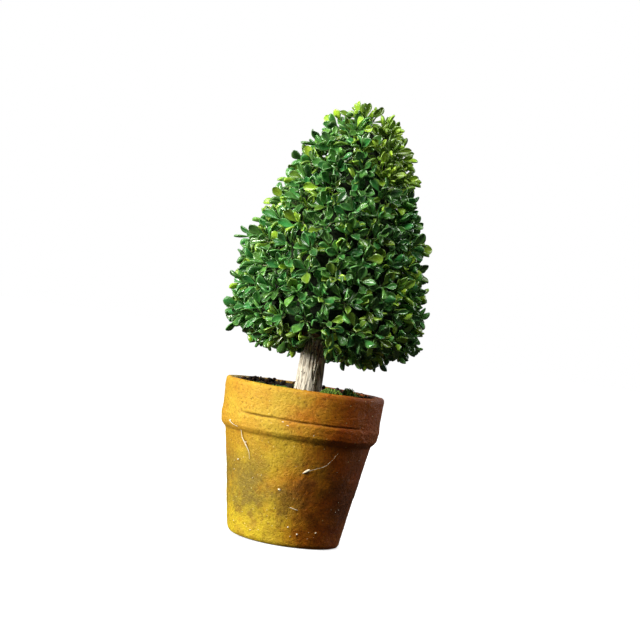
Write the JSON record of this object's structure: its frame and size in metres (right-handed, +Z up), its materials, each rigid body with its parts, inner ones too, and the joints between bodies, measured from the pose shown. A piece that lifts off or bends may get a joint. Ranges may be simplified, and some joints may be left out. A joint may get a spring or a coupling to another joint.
{
  "type": "artificial tabletop tree",
  "caption": "Artificial boxwood cone on a short branch trunk in a tapered, collared pot: leaf sprigs pushed into a foam core, over a weighted filling covered with soil and moss.",
  "frame": {"origin": "centre of the pot's flat foot", "axes": "+Z up along the pot's axis, +X to the side that the leafy head leans to, -Y towards the front"},
  "size_m": [0.1148, 0.1149, 0.252],
  "materials": {
    "pot_pulp": "matt, mottled ochre paint",
    "plaster": "matt",
    "foam": "matt, fine open cells",
    "soil": "matt, crumbly",
    "moss": "matt, fibrous",
    "bark": "matt, ribbed bark",
    "hot_glue": "glossy",
    "boxwood_leaf": "semi-gloss"
  },
  "bodies": {
    "root": {"foam_cone": "foam", "foam_plug": "foam", "glue_collar_cone": "hot_glue", "glue_collar_soil": "hot_glue", "glue_strings": "hot_glue", "moss_tuft_1": "moss", "moss_tuft_2": "moss", "moss_tuft_3": "moss", "moss_tuft_4": "moss", "moss_tuft_5": "moss", "plaster_ballast": "plaster", "pot": "pot_pulp", "soil_cover": "soil", "sprig_row_01": "boxwood_leaf", "sprig_row_02": "boxwood_leaf", "sprig_row_03": "boxwood_leaf", "sprig_row_04": "boxwood_leaf", "sprig_row_05": "boxwood_leaf", "sprig_row_06": "boxwood_leaf", "sprig_row_07": "boxwood_leaf", "sprig_row_08": "boxwood_leaf", "sprig_row_09": "boxwood_leaf", "sprig_row_10": "boxwood_leaf", "sprig_row_11": "boxwood_leaf", "sprig_row_12": "boxwood_leaf", "sprig_row_13": "boxwood_leaf", "trunk": "bark"}
  },
  "joints": []
}
